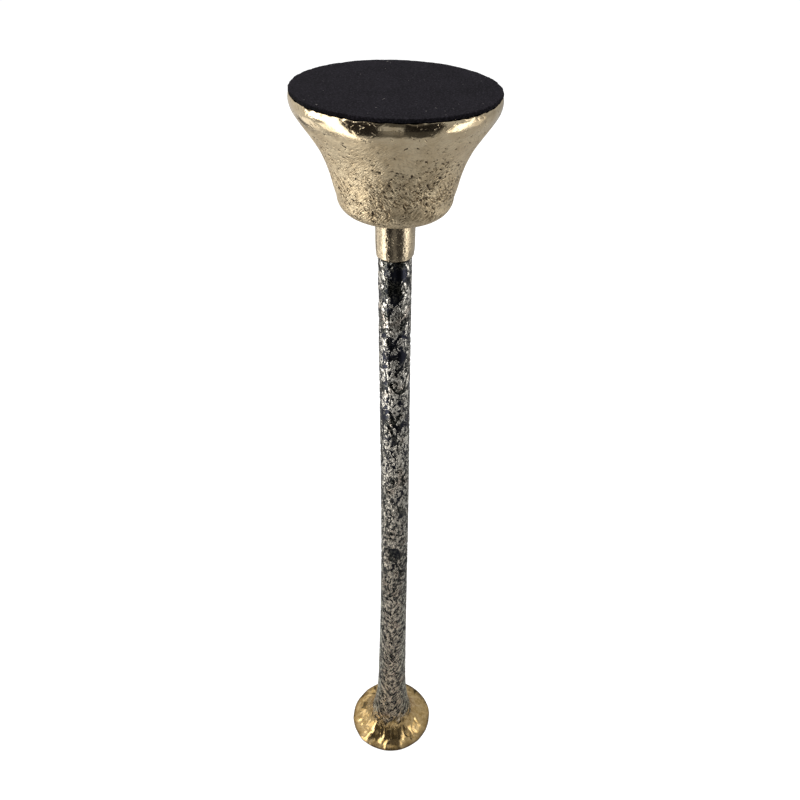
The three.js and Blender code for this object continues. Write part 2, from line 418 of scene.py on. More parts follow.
def build_lint(felt, settings):
    """Short pale fibres caught in the felt's face."""
    lint = bpy.data.objects.new("felt_lint", felt.data.copy())
    bpy.context.scene.collection.objects.link(lint)
    tree, inputs = geometry_tree("felt_lint", ["Density", "Length", "Thickness"])
    up = tree.parts(tree.node("GeometryNodeInputNormal"))[2]
    scattered = tree.node("GeometryNodeDistributePointsOnFaces", {}, {
        "Mesh": inputs["Geometry"], "Density": inputs["Density"], "Seed": SEED,
        "Selection": up.math("GREATER_THAN", 0.85),
    })
    half = inputs["Length"] * 0.5
    curve = tree.node("GeometryNodeCurveQuadraticBezier", {}, {
        "Resolution": 5, "Start": tree.join(half * -1.0, 0.0, 0.0),
        "Middle": tree.join(half * 0.2, half * 0.9, 0.0), "End": tree.join(half, half * 0.1, 0.0),
    })
    profile = tree.node("GeometryNodeCurvePrimitiveCircle", {}, {
        "Resolution": 5, "Radius": inputs["Thickness"],
    })
    fibre = tree.node("GeometryNodeCurveToMesh", {}, {
        "Curve": curve, "Profile Curve": profile, "Fill Caps": True,
    })
    turn = tree.node("FunctionNodeRandomValue", {"data_type": "FLOAT"}, {
        2: 0.0, 3: 2 * math.pi, "Seed": SEED,
    }, output=1)
    scale = tree.node("FunctionNodeRandomValue", {"data_type": "FLOAT"}, {
        2: 0.35, 3: 1.0, "Seed": SEED + 1,
    }, output=1)
    placed = tree.node("GeometryNodeInstanceOnPoints", {}, {
        "Points": scattered, "Instance": fibre, "Rotation": tree.join(0.0, 0.0, turn), "Scale": scale,
    })
    close_tree(tree, placed, inputs["Material"])
    sizes = {"Density": settings.lint, "Length": 1.3 * MM, "Thickness": 0.06 * MM}
    apply_tree(lint, tree, sizes, lint_material())
    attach(lint, "root")
    return lint


def build_felt(settings):
    """The hand-cut felt disc."""
    facets = 360
    low, high = FELT_LOW.z - 0.2 * MM, FELT_HIGH.z
    edge = 0.7 * MM
    outline = [
        *even([(0, low), (FELT_RADIUS, low)], 4 * MM),
        *even([(FELT_RADIUS, low + 0.2 * MM), (FELT_RADIUS, high - edge)], 0.3 * MM),
        *arc(FELT_RADIUS - edge, high - edge, edge, 20, 90, 0.2 * MM),
        *even([(FELT_RADIUS - 1.4 * MM, high), (0, high)], 1.0 * MM),
    ]
    felt = turned("felt", [(r, z, facets, 1.0) for r, z in outline])
    tree, inputs = geometry_tree("felt_cut", ["Waviness", "Nap"])
    place = place_in_mm(tree)
    x, y, _ = tree.parts(place)
    reach = (x * x + y * y).math("SQRT")
    wave = tree.noise(tree.join(x, y, 0.0), 14.0, detail=5.0, roughness=0.78)
    inward = reach.step(44.0, 50.0) * wave.math("SUBTRACT", 0.6).math("MINIMUM", 0.0)
    outward = tree.join(x, y, 0.0).vector("NORMALIZE").vector("SCALE", inward * inputs["Waviness"])
    cut = tree.node(
        "GeometryNodeSetPosition", {}, {"Geometry": inputs["Geometry"], "Offset": outward}
    )
    nap = tree.noise(place, 1.6, detail=3.0, roughness=0.65) - 0.75
    close_tree(tree, push(tree, cut, nap * inputs["Nap"]), inputs["Material"])
    sizes = {"Waviness": settings.waviness, "Nap": settings.nap}
    apply_tree(felt, tree, sizes, felt_material(settings))
    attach(felt, "root")
    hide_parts("felt_pad")
    lint = build_lint(felt, settings)


# Head

def pit_depth(tree, place):
    """How deep the casting pits are, with how low on the head and how crowded, each 0 to 1."""
    _, _, z = tree.parts(place)
    below = HEAD_HIGH.z / MM - z
    wander = tree.noise(place, 2.2, detail=1.0, output=1).vector("SUBTRACT", (0.5, 0.5, 0.5))
    bent = place.vector("ADD", wander.vector("SCALE", 1.6))
    slant = twist(tree, bent, 0.022)
    other = twist(tree, bent, -0.026)
    patch = tree.noise(slant.vector("MULTIPLY", (1.0, 1.0, 0.35)), 7.0, detail=2.0)
    swarm = tree.noise(other.vector("MULTIPLY", (1.0, 1.0, 0.35)), 9.0, detail=2.0)
    low = below.step(14.0, 40.0)
    belt = low * (1.0 - 0.5 * below.step(46.0, 56.0))
    crowd = patch.math("MAXIMUM", swarm).step(0.45, 0.62) * (0.42 + 0.58 * belt)
    depth = None
    for cells_in, size, share, reach in (
        (slant, 1.9, 0.66, 0.42), (other, 1.25, 0.8, 0.46), (slant, 3.2, 0.45, 0.3),
    ):
        narrow = cells_in.vector("MULTIPLY", (1.0, 1.0, 0.7))
        distance = tree.cells(narrow, size, "Distance")
        chance, spread, _ = tree.parts(tree.cells(narrow, size, "Color"))
        kept = (chance + crowd * share).step(0.93, 0.97)
        pit = (1.0 - (distance / (reach * (0.4 + 0.6 * spread))).step(0.6, 1.0)) * kept
        depth = pit if depth is None else depth.math("MAXIMUM", pit)
    return depth, low, crowd


def head_grain(tree, place, low, crowd):
    """The coarse skin of the sand, slanting round the casting, from 0 to 1."""
    right = tree.noise(twist(tree, place, -0.03).vector("MULTIPLY", (1.0, 1.0, 0.5)), 0.95, detail=2.0)
    left = tree.noise(twist(tree, place, 0.02).vector("MULTIPLY", (1.0, 1.0, 0.7)), 1.1, detail=2.0)
    area = tree.noise(place, 18.0, detail=1.0).step(0.4, 0.6)
    mixed = right * area + left * (1.0 - area)
    return mixed, 0.25 + 0.75 * low * (0.4 + 0.6 * crowd)


def head_material(settings):
    material, tree, place = new_material("head_bronze")
    pits, low, crowd = pit_depth(tree, place)
    grain, coarse = head_grain(tree, place, low, crowd)
    skin = skin_of(tree)
    _, _, z = tree.parts(place)
    below = HEAD_HIGH.z / MM - z
    polished = 1.0 - (below + tree.noise(place, 9.0, detail=2.0) * 5.0).step(8.0, 15.0)
    pits = pits * (1.0 - 0.75 * polished)
    tone = tree.noise(place, 7.0, detail=4.0, roughness=0.6)
    base = tree.mix(tone.step(0.3, 0.7), color((0.68, 0.55, 0.355)), color(settings.tint))
    # Darker brown in the troughs of the sandy grain, stronger low on the head and where pits crowd, none
    # on the polished band
    grain_trough_dark = (1.0 - grain.step(0.36, 0.54)) * coarse * (1.0 - polished)
    base = tree.mix(grain_trough_dark * 0.9, base, color((0.15, 0.095, 0.045)))
    base = tree.mix(pits * skin, base, color((0.05, 0.027, 0.011)))
    rough = 0.36 + 0.12 * tone - 0.28 * polished + 0.2 * pits
    height = (grain * coarse * (1.0 - 0.85 * polished) * 2.6 + tone * 0.15 - pits) * skin
    finish_material(tree, {
        "Base Color": base, "Metallic": 1.0 - 0.6 * pits * skin, "Roughness": rough,
        "Normal": bump(tree, height, 0.4 * MM, 0.8),
    })
    return material


def add_bosses(head, middle, ledge):
    """Raises a bored boss inside the head for each backing screw. Middle is the wall's centreline."""
    low, high = middle[0][1], middle[-1][1]
    section = [(0, low), *middle[::6], (middle[-1][0], high), (0, high)]
    core = [(r, z, CORE_FACETS, 0.0) for r, z in section]
    for name in ("backing_screw_1", "backing_screw_2", "backing_screw_3"):
        near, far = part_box(name)
        x, y = (near.x + far.x) / 2, (near.y + far.y) / 2
        boss = plug(x, y, BOSS_RADIUS, ledge - BOSS_HEIGHT, ledge)
        combine(boss, turned("core", core), "INTERSECT")
        combine(head, boss, "UNION")
        combine(head, plug(x, y, SCREW_BORE, ledge - SCREW_DEPTH, ledge + 1 * MM), "DIFFERENCE")
    mesh = bmesh.new()
    mesh.from_mesh(head.data)
    bmesh.ops.remove_doubles(mesh, verts=mesh.verts, dist=WELD)
    bmesh.ops.dissolve_degenerate(mesh, edges=mesh.edges, dist=WELD)
    mesh.to_mesh(head.data)
    mesh.free()
    head.data.shade_smooth()
    head.data.set_sharp_from_angle(angle=SHARP)


def plug(x, y, radius, low, high):
    """An upright round bar, its axis through x and y."""
    section = [(0, low), (radius, low), (radius, high), (0, high)]
    bar = turned("plug", [(r, z, BOSS_FACETS, 0.0) for r, z in section])
    bar.data.transform(Matrix.Translation((x, y, 0)))
    return bar


def combine(piece, other, operation):
    """Joins or cuts a piece's mesh with another's, and takes the other away."""
    modifier = piece.modifiers.new("combine", "BOOLEAN")
    modifier.operation = operation
    modifier.solver = "MANIFOLD"
    modifier.object = other
    graph = bpy.context.evaluated_depsgraph_get()
    mesh = bpy.data.meshes.new_from_object(piece.evaluated_get(graph))
    piece.modifiers.remove(modifier)
    piece.data = mesh
    bpy.data.objects.remove(other)


def build_head(settings):
    """The hollow bronze casting: worked outside, plain inside."""
    facets = 384
    fine = 0.5 * MM
    flank = smooth([(r * HEAD_RADIUS, HEAD_HIGH.z - d * HEAD_HEIGHT) for r, d in FLANK], 12)
    outside = even([p for p in flank[::-1] if p[1] < HEAD_HIGH.z - HEAD_EDGE], fine)
    start = outside[0][0] - SHOULDER_ROUND
    shoulder = arc(start, HEAD_LOW.z + SHOULDER_ROUND, SHOULDER_ROUND, -90, -14, fine)
    rebate = DISC_HIGH.x + GAP
    ledge = DISC_LOW.z - GAP
    wall = inset(outside, HEAD_WALL)
    middle = inset(outside, HEAD_WALL / 2)
    wall = wall[(wall[:, 0] < LEDGE_RADIUS) & (wall[:, 1] > HEAD_LOW.z + SHOULDER_ROUND - 0.5 * MM)]
    hollow = [(LEDGE_RADIUS, ledge), *even(wall[::-1], 3 * MM)]
    inner = SHOULDER_ROUND - HEAD_FLOOR
    hollow += [*arc(start, HEAD_LOW.z + SHOULDER_ROUND, inner, -14, -90, 1 * MM)]
    floor = HEAD_LOW.z + HEAD_FLOOR
    rings = [(BORE_RADIUS, HEAD_LOW.z, facets, 0.0)]
    base = even([(16 * MM, HEAD_LOW.z), (start, HEAD_LOW.z)], 1 * MM)
    rings += [(r, z, facets, 0.6) for r, z in base[:-1]]
    rings += [(r, z, facets, 1.0) for r, z in [*shoulder, *outside]]
    edge = arc(outside[-1][0] - HEAD_EDGE, HEAD_HIGH.z - HEAD_EDGE, HEAD_EDGE, 20, 90, 0.2 * MM)
    rings += [(r, z, facets, 1.0) for r, z in edge]
    rings += [(rebate, HEAD_HIGH.z, facets, 0.0), (rebate, ledge, facets, 0.0)]
    rings += [(r, z, facets, 0.0) for r, z in hollow]
    rings += [(BORE_RADIUS, floor, facets, 0.0)]
    head = turned("head", rings, loop=True)
    add_bosses(head, [*middle[(middle[:, 1] > floor) & (middle[:, 1] < ledge)]], ledge)
    tree, inputs = geometry_tree("head_relief", ["Pit depth", "Waviness", "Grain depth"])
    place = place_in_mm(tree)
    pits, low, crowd = pit_depth(tree, place)
    grain, coarse = head_grain(tree, place, low, crowd)
    _, _, z = tree.parts(place)
    below = HEAD_HIGH.z / MM - z
    wave = (tree.noise(place, 22.0, detail=2.0) - 0.5) * (0.5 + 0.5 * below.step(10.0, 25.0))
    wave = wave - 0.25 + 0.35 * below.step(6.0, 20.0)
    lip = (z - HEAD_HIGH.z / MM).step(-1.0, -0.3) * tree.noise(place, 2.6, detail=3.0).step(0.4, 0.65)
    band = 1.0 - below.step(7.0, 14.0)
    pits = pits * (1.0 - 0.75 * band)
    sunk = pits * inputs["Pit depth"] + (0.7 - grain) * coarse * inputs["Grain depth"]
    sunk = sunk + lip * 0.45 * MM
    offset = (wave * inputs["Waviness"] - sunk) * skin_of(tree)
    close_tree(tree, push(tree, inputs["Geometry"], offset), inputs["Material"])
    sizes = {"Pit depth": settings.pit_depth, "Waviness": settings.waviness,
             "Grain depth": settings.grain}
    apply_tree(head, tree, sizes, head_material(settings))
    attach(head, "root")
    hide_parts("head_casting")


# Collar

def collar_material(settings):
    material, tree, place = new_material("collar_bronze")
    pits = collar_pits(tree, place)
    skin = skin_of(tree)
    tone = tree.noise(place, 5.0, detail=4.0, roughness=0.6)
    grain = tree.noise(place, 1.1, detail=2.0)
    base = tree.mix(tone.step(0.3, 0.7), color((0.54, 0.45, 0.32)), color(settings.tint))
    base = tree.mix(pits * skin, base, color((0.05, 0.03, 0.018)))
    finish_material(tree, {
        "Base Color": base, "Metallic": 1.0, "Roughness": 0.16 + 0.14 * tone + 0.25 * pits,
        "Normal": bump(tree, (tone * 0.3 + grain * 0.7 - pits) * skin, 0.3 * MM, 0.7),
    })
    return material


def collar_pits(tree, place):
    patch = tree.noise(place, 5.0, detail=2.0).step(0.4, 0.58)
    distance = tree.cells(place, 1.1, "Distance")
    chance, spread, _ = tree.parts(tree.cells(place, 1.1, "Color"))
    kept = (chance + patch * 0.5).step(0.84, 0.94)
    return (1.0 - (distance / (0.42 * (0.35 + 0.65 * spread))).step(0.3, 1.0)) * kept


def build_collar(settings):
    """The sleeve between head and stem, with a filed lip that ends unevenly."""
    facets = 144
    fine = 0.45 * MM
    top = HEAD_LOW.z
    lip = 10.05 * MM
    lip_low = COLLAR_LOW.z - 0.15 * MM
    socket = 7.8 * MM
    web = COLLAR_HIGH.z - 8 * MM
    outline = even(smooth([
        (lip, lip_low + 0.4 * MM), (COLLAR_RADIUS - 0.14 * MM, lip_low + 3.5 * MM),
        (COLLAR_RADIUS - 0.01 * MM, lip_low + 8 * MM), (COLLAR_RADIUS, top),
    ], 8), fine)
    rings = [(socket, lip_low, facets, 0.0), (lip - 0.4 * MM, lip_low, facets, 0.0)]
    rings += [(r, z, facets, 1.0) for r, z in outline]
    rings += [(BORE_RADIUS, top, facets, 0.0), (BORE_RADIUS, web, facets, 0.0)]
    rings += [(socket, web, facets, 0.0)]
    collar = turned("collar_sleeve", rings, loop=True)
    tree, inputs = geometry_tree("collar_relief", ["Pit depth", "Lip unevenness"])
    place = place_in_mm(tree)
    x, y, z = tree.parts(place)
    near_lip = 1.0 - z.step(COLLAR_LOW.z / MM, COLLAR_LOW.z / MM + 5.0)
    ragged = (tree.noise(tree.join(x, y, 0.0), 7.0, detail=3.0) - 0.3) * near_lip
    lifted = tree.node("GeometryNodeSetPosition", {}, {
        "Geometry": inputs["Geometry"], "Offset": tree.join(0.0, 0.0, ragged * inputs["Lip unevenness"]),
    })
    soft = tree.noise(place, 6.0, detail=2.0) - 0.8
    offset = (soft * 0.25 * MM - collar_pits(tree, place) * inputs["Pit depth"]) * skin_of(tree)
    close_tree(tree, push(tree, lifted, offset), inputs["Material"])
    sizes = {"Pit depth": 0.25 * MM, "Lip unevenness": settings.lip}
    apply_tree(collar, tree, sizes, collar_material(settings))
    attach(collar, "root")
    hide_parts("collar")


# Stem and flared foot

def bare_patch(y, z, reach):
    """1 on a patch under the collar's front that has few flakes."""
    return (y / reach * -1.0).step(0.72, 0.92) * z.step(396.0, 410.0)


def slanting_noise(tree, place, size):
    """Noise drawn out into strokes that lean outwards, one way each side of the front."""
    x, y, _ = tree.parts(place)
    left, right = (
        tree.noise(twist(tree, place, turn).vector("MULTIPLY", (1.0, 1.0, 0.34)), size, roughness=0.6)
        for turn in (0.045, -0.055)
    )
    side = (x / (x * x + y * y).math("SQRT") + tree.noise(place, 12.0, detail=1.0) - 0.5).step(-0.3, 0.3)
    return left * (1.0 - side) + right * side


def stem_pattern(tree, place):
    """The reticulated skin: flakes stand proud of a dark ground, and pits go into them."""
    x, y, z = tree.parts(place)
    reach = (x * x + y * y).math("SQRT")
    cover = z.step(60.0, 400.0)
    drift = tree.noise(place, 2.7, detail=1.5, output=1).vector("SUBTRACT", (0.5, 0.5, 0.5))
    bent = place.vector("MULTIPLY", (1.0, 1.0, 0.6)).vector("ADD", drift.vector("SCALE", 3.4))
    body = tree.noise(bent, 4.8, detail=2.5, roughness=0.6)
    level = 0.25 + 0.222 * z.step(150.0, 390.0) + (tree.noise(place, 26.0, detail=1.0) - 0.5) * 0.1
    shown = x / reach
    level = level - 0.02 * (shown * -1.0).step(0.3, 0.6) + 0.1 * bare_patch(y, z, reach)
    flake = (body - level).step(-0.012, 0.016)
    worm = tree.noise(bent.vector("MULTIPLY", (1.0, 1.0, 0.8)), 1.75, detail=1.5, roughness=0.6)
    strokes = slanting_noise(tree, place, 1.7)
    upper = z.step(170.0, 260.0)
    worm = worm * upper + strokes.math("MINIMUM", worm + 0.035) * (1.0 - upper)
    open_level = 0.45 + 0.02 * z.step(90.0, 230.0) - 0.03 * z.step(300.0, 400.0)
    pits = (worm - open_level).step(-0.02, 0.02)
    lines = tree.noise(bent, 3.1, detail=1.0)
    thin = 0.024 * z.step(110.0, 260.0)
    line = ((lines - 0.5).math("ABSOLUTE") - thin).step(-0.012, 0.002)
    river = tree.noise(place.vector("MULTIPLY", (1.0, 1.0, 0.5)), 15.0, detail=1.0)
    broad = 0.018 * z.step(120.0, 200.0)
    bank = ((river - 0.5).math("ABSOLUTE") - broad).step(-0.006, 0.003)
    edge = reach + (tree.noise(place, 5.0, detail=3.0) - 0.5) * 9.0
    return {"flake": flake, "pits": pits, "bank": bank, "line": line,
            "fade": edge.step(13.5, 17.0), "spots": 1.0 - edge.step(15.0, 19.0),
            "reach": reach, "cover": cover, "bent": bent, "height": z}


def fold_height(tree, place):
    """Folds that run down the flare: mostly inwards, and none on the rod."""
    x, y, _ = tree.parts(place)
    reach = (x * x + y * y).math("SQRT")
    around = tree.join(x / reach * 10.0, y / reach * 10.0, reach * 0.14)
    warp = tree.noise(place, 9.0, detail=1.0, output=1).vector("SUBTRACT", (0.5, 0.5, 0.5))
    folds = tree.noise(around.vector("ADD", warp.vector("SCALE", 3.0)), 4.4, detail=1.6, roughness=0.5)
    return (folds * 2.0 - 1.3) * reach.step(13.0, 21.0) * (1.0 - 0.5 * reach.step(28.0, 31.8))


def stem_relief(pattern):
    """Height of the stem's skin below its outermost face, from 0 down to -1."""
    proud = pattern["flake"] * pattern["pits"] * pattern["bank"] * pattern["line"]
    spotted = 1.0 - (1.0 - pattern["pits"]) * pattern["spots"]
    return proud * (1.0 - pattern["fade"]) + spotted * pattern["fade"] - 1.0


def stem_marks(tree, place, height):
    """Marks on the stem's metal, each 0 to 1: strokes, stains and fine threads."""
    upper = height.step(190.0, 320.0)
    vein = tree.noise(place.vector("MULTIPLY", (1.0, 1.0, 0.4)), 1.2, detail=1.0, distortion=0.8)
    thread = 1.0 - (vein - 0.5).math("ABSOLUTE").step(0.015, 0.05)
    return {
        "upper": upper,
        "drawn": slanting_noise(tree, place, 1.25),
        "stain": slanting_noise(tree, place, 2.1).step(0.58, 0.62) * (1.0 - upper),
        "thread": thread * (1.0 - height.step(250.0, 380.0)),
    }


def flake_colour(tree, place, pattern, marks, warm):
    """The metal of the flakes: warm grey low on the front, paler above, and stained."""
    _, y, _ = tree.parts(place)
    front = (y / pattern["reach"] * -1.0).step(0.5, 0.95)
    low = tree.mix(front, color((0.9, 0.89, 0.76)), color((1.0, 0.88, 0.71)))
    metal = tree.mix(pattern["cover"], low, color((0.99, 0.97, 0.89)))
    mottle = tree.noise(place, 1.5, detail=3.0, roughness=0.7)
    shade = mottle.step(0.48, 0.62) * (0.22 + 0.6 * pattern["height"].step(330.0, 375.0))
    drawn = marks["drawn"].step(0.5, 0.56) * 0.8 * (1.0 - 0.5 * marks["upper"])
    for amount, stained in (
        (shade * marks["upper"], (0.2, 0.18, 0.15)), (drawn, (0.13, 0.12, 0.11)),
        (marks["stain"] * 0.8, (0.06, 0.06, 0.06)), (marks["thread"] * 0.3, (0.07, 0.065, 0.06)),
        (warm.step(0.52, 0.7) * 0.3, (0.5, 0.34, 0.25)),
    ):
        metal = tree.mix(amount, metal, color(stained))
    return metal


def ground_colour(tree, pattern, warm, tint):
    """The dark patina between the flakes, with a pale web of lines."""
    ground = tree.mix(warm.step(0.4, 0.6), color(tint), color((0.012, 0.014, 0.014)))
    ground = tree.mix(pattern["cover"], color((0.008, 0.008, 0.009)), ground)
    web = tree.noise(pattern["bent"], 2.1, detail=2.0, roughness=0.6)
    line = 1.0 - (web - 0.5).math("ABSOLUTE").step(0.012, 0.035)
    return tree.mix(line * warm.step(0.36, 0.5) * 0.75, ground, color((0.3, 0.3, 0.26)))


def stem_bump(tree, place, pattern, marks, raised):
    """Height of the stem's fine unevenness, calmer towards the collar and on the flare."""
    fine = tree.noise(place, 0.9, detail=2.0)
    dome = tree.noise(pattern["bent"], 2.4, detail=1.0)
    wrinkle = tree.noise(place, 7.0, detail=1.0, distortion=0.6)
    calm = pattern["height"].step(320.0, 390.0)
    swell = dome * (2.6 - 1.9 * calm) - marks["thread"] * 0.6
    swell = swell - marks["drawn"] * 1.5 * (1.0 - marks["upper"])
    rough = (fine * (1.2 - 0.8 * calm) + swell) * (1.0 - pattern["fade"]) * raised
    return rough + wrinkle * 1.6 * pattern["fade"]


def stem_material(settings):
    material, tree, place = new_material("stem_patina")
    pattern = stem_pattern(tree, place)
    marks = stem_marks(tree, place, pattern["height"])
    skin = skin_of(tree)
    relief = stem_relief(pattern)
    raised = 1.0 + relief
    fade = pattern["fade"]
    tone = tree.noise(place, 3.0, detail=3.0)
    warm = tree.noise(place, 11.0, detail=2.0)
    ground = ground_colour(tree, pattern, warm, settings.ground)
    silver = tree.mix(raised, ground, flake_colour(tree, place, pattern, marks, warm))
    gold = tree.mix(tone.step(0.3, 0.7), color(settings.gold), color((0.56, 0.38, 0.15)))
    gold = tree.mix(raised, color((0.06, 0.04, 0.02)), gold)
    base = tree.mix(fade, silver, gold)
    # Painted shade: where skin is below 1 the colour goes to dark brown, on the rim's lower rounding and
    # under the foot
    base = tree.mix(skin, color((0.4, 0.3, 0.15)), base)
    # Painted shade: the foot goes dark brown within 2 mm of the floor, where the rim meets it
    base = tree.mix(1.0 - pattern["height"].step(0.5, 2.0), base, color((0.11, 0.065, 0.03)))
    rough = 0.18 + 0.14 * tone + 0.05 * (1.0 - pattern["cover"])
    rough = rough * (1.0 - fade) + (0.13 + 0.16 * tone) * fade
    height = relief * 1.3 + stem_bump(tree, place, pattern, marks, raised)
    finish_material(tree, {
        "Base Color": base, "Metallic": 1.0, "Roughness": rough,
        "Normal": bump(tree, height * skin, 0.35 * MM, 0.9),
    })
    return material


def build_stem(settings):
    """One casting: the rod, the flared foot with its hollow mouth, and the tapped spigot."""
    around = 108
    wide = 3 * around
    mouth = even(smooth(metres(MOUTH), 8), 2 * MM)
    flare = even(smooth(metres(STEM_FLARE), 16), 0.6 * MM)
    flare = flare[flare[:, 1] < 62 * MM]
    whole = smooth(metres([*STEM_FLARE, *STEM_ROD[1:]]), 16)
    rod = even([p for p in whole if p[1] > flare[-1][1] + 0.3 * MM], 0.75 * MM)
    rim = FOOT_RADIUS
    spigot, chamfer = 7.5 * MM, 0.8 * MM
    tap = STUD_LOW.z - 3 * MM
    rings = [(r, z, around, 0.0) for r, z in mouth[:-8]]
    rings += [(r, z, wide, 0.0) for r, z in mouth[-8:]]
    # The rim's underside and lower rounding take skin 0 to 0.8, which the stem's material turns into
    # painted shade
    rings += [(rim - 1.9 * MM, 0, wide, 0.0), (rim - 0.7 * MM, 0, wide, 0.0)]
    rings += [(rim - 0.25 * MM, 0.1 * MM, wide, 0.4), (rim, 0.5 * MM, wide, 0.8)]
    rings += [(r, z, wide, 1.0) for r, z in flare]
    rings += [(r, z, around, 1.0) for r, z in rod]
    rings += [(r, z, around, 0.0) for r, z in [
        (spigot, SHOULDER_HEIGHT - 0.3 * MM), (spigot, STEM_HIGH.z - chamfer),
        (spigot - chamfer, STEM_HIGH.z), (BORE_RADIUS, STEM_HIGH.z),
        (BORE_RADIUS, tap + 2.6 * MM), (0, tap),
    ]]
    stem = turned("stem_casting", rings)
    tree, inputs = geometry_tree("stem_relief", ["Relief", "Fold depth", "Bow"])
    place = place_in_mm(tree)
    _, _, z = tree.parts(place)
    pattern = stem_pattern(tree, place)
    skin = skin_of(tree)
    relief = stem_relief(pattern) * inputs["Relief"]
    folds = fold_height(tree, place) * inputs["Fold depth"]
    pushed = push(tree, inputs["Geometry"], (relief + folds) * skin)
    swing = (z / (SHOULDER_HEIGHT / MM) * math.pi).math("SINE") ** 2.0
    bowed = tree.node("GeometryNodeSetPosition", {}, {
        "Geometry": pushed, "Offset": tree.join(swing * inputs["Bow"], 0.0, 0.0),
    })
    close_tree(tree, bowed, inputs["Material"])
    sizes = {"Relief": settings.relief, "Fold depth": settings.folds, "Bow": settings.bow}
    apply_tree(stem, tree, sizes, stem_material(settings))
    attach(stem, "root")
    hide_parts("stem")


# Hidden fastenings keep their CAD shapes

def plated_material(name, bright, dull, rough):
    material, tree, place = new_material(name)
    tone = tree.noise(place, 2.0, detail=4.0, roughness=0.6)
    brush = tree.noise(place.vector("MULTIPLY", (0.1, 3.0, 1.0)), 0.8, detail=2.0)
    base = tree.mix(tone.step(0.3, 0.7), color(bright), color(dull))
    finish_material(tree, {
        "Base Color": base, "Metallic": 1.0, "Roughness": rough + 0.15 * tone,
        "Normal": bump(tree, brush, 0.05 * MM, 0.3),
    })
    return material


def build_fastenings():
    brass = plated_material("rolled_brass", (0.62, 0.44, 0.17), (0.45, 0.31, 0.13), 0.3)
    steel = plated_material("plated_steel", (0.55, 0.56, 0.58), (0.4, 0.41, 0.43), 0.28)
    for name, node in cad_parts.items():
        if node.hide_render:
            continue
        node.data.materials.clear()
        node.data.materials.append(brass if name == "backing_disc" else steel)


# Floor, light and camera

# Cards round the stand: name, azimuth in degrees, distance, width, low edge, high edge, brightness
CARDS = [
    ("flag_left", -30, 0.37, 0.245, 0.0, 0.62, 0.0),
    ("flag_right", 31, 0.37, 0.28, 0.33, 0.62, 0.0),
    ("flag_low", 31, 0.37, 0.28, 0.0, 0.33, 0.035),
    ("flag_gap", -1, 0.385, 0.17, 0.0, 0.35, 0.17),
    ("flag_foot", 2, 0.36, 0.27, 0.06, 0.2, 0.1),
    ("flag_base", 2, 0.36, 0.3, 0.0, 0.06, 0.2),
    ("flag_top", 6, 0.5, 0.95, 0.55, 5.0, 0.06),
    ("flag_back", 180, 0.9, 0.4, 0.0, 0.9, 0.05),
    ("pale_left", -128, 0.55, 0.6, 0.24, 1.1, 0.65),
    ("pale_low", -114, 0.55, 0.26, 0.0, 0.24, 1.25),
    ("flag_side", -136, 0.55, 0.16, 0.0, 0.24, 0.05),
    ("pale_back", -156, 0.55, 0.2, 0.0, 0.24, 0.9),
    ("glow_side", -84, 0.45, 0.12, 0.0, 0.26, 1.6),
    ("glow_left", -63, 0.42, 0.18, 0.0, 1.0, 2.8),
    ("glow_high", -83, 0.45, 0.2, 0.37, 1.0, 3.0),
    ("glow_high_right", 85, 0.45, 0.06, 0.42, 0.75, 2.2),
    ("glow_low", -61, 0.26, 0.07, 0.0, 0.22, 3.4),
    ("glow_right", 73, 0.45, 0.16, 0.17, 0.48, 2.4),
    ("soft_right", 92, 0.46, 0.2, 0.25, 0.48, 0.8),
]


def floor_material(name, tint, glow):
    material, tree, place = new_material(name)
    tone = tree.noise(place, 60.0, detail=2.0)
    base = tree.mix(tone, color(tint), color(tuple(0.97 * part for part in tint)))
    finish_material(tree, {
        "Base Color": base, "Roughness": 0.85, "Specular IOR Level": 0.1,
        "Emission Color": color((1.0, 1.0, 1.0)), "Emission Strength": glow,
    })
    return material


def card_material(name, glow):
    """A card of one brightness: 0 is black cloth, 1 is white."""
    material, tree, _ = new_material(name)
    finish_material(tree, {
        "Base Color": color((0.02, 0.018, 0.018)), "Roughness": 0.9, "Specular IOR Level": 0.0,
        "Emission Color": color((1.0, 0.97, 0.93)), "Emission Strength": glow,
    })
    return material


def round_the_stand(azimuth, distance, height):
    """A place at an azimuth round the stand, in degrees from the front, turned to face its axis."""
    angle = math.radians(azimuth)
    spot = (distance * math.sin(angle), -distance * math.cos(angle), height)
    return Matrix.Translation(spot) @ Matrix.Rotation(angle, 4, "Z")


def upright_card(name, azimuth, distance, width, low, high, glow):
    """A card that faces the stand, seen only in reflections."""
    half = width / 2
    mesh = bpy.data.meshes.new(name)
    mesh.from_pydata([(-half, 0, low), (half, 0, low), (half, 0, high), (-half, 0, high)], [],
                     [(0, 1, 2, 3)])
    mesh.materials.append(card_material(name, glow))
    card = bpy.data.objects.new(name, mesh)
    bpy.context.scene.collection.objects.link(card)
    card.matrix_world = round_the_stand(azimuth, distance, 0)
    card.visible_camera = False
    card.visible_diffuse = False
    card.visible_shadow = False


def soft_light(name, azimuth, distance, height, size, power, aim):
    """A soft box at an azimuth round the stand, facing a point on its axis."""
    data = bpy.data.lights.new(name, "AREA")
    data.shape = "RECTANGLE"
    data.size, data.size_y = size
    data.energy = power
    light = bpy.data.objects.new(name, data)
    bpy.context.scene.collection.objects.link(light)
    tilt = Matrix.Rotation(math.atan2(distance, height - aim), 4, "X")
    light.matrix_world = round_the_stand(azimuth, distance, height) @ tilt
    light.visible_camera = False
    return light


def wide_plane(name, half, height, material):
    """A level square under the stand."""
    mesh = bpy.data.meshes.new(name)
    corners = [(-half, -half, height), (half, -half, height), (half, half, height), (-half, half, height)]
    mesh.from_pydata(corners, [], [(0, 1, 2, 3)])
    mesh.materials.append(material)
    plane = bpy.data.objects.new(name, mesh)
    bpy.context.scene.collection.objects.link(plane)
    return plane


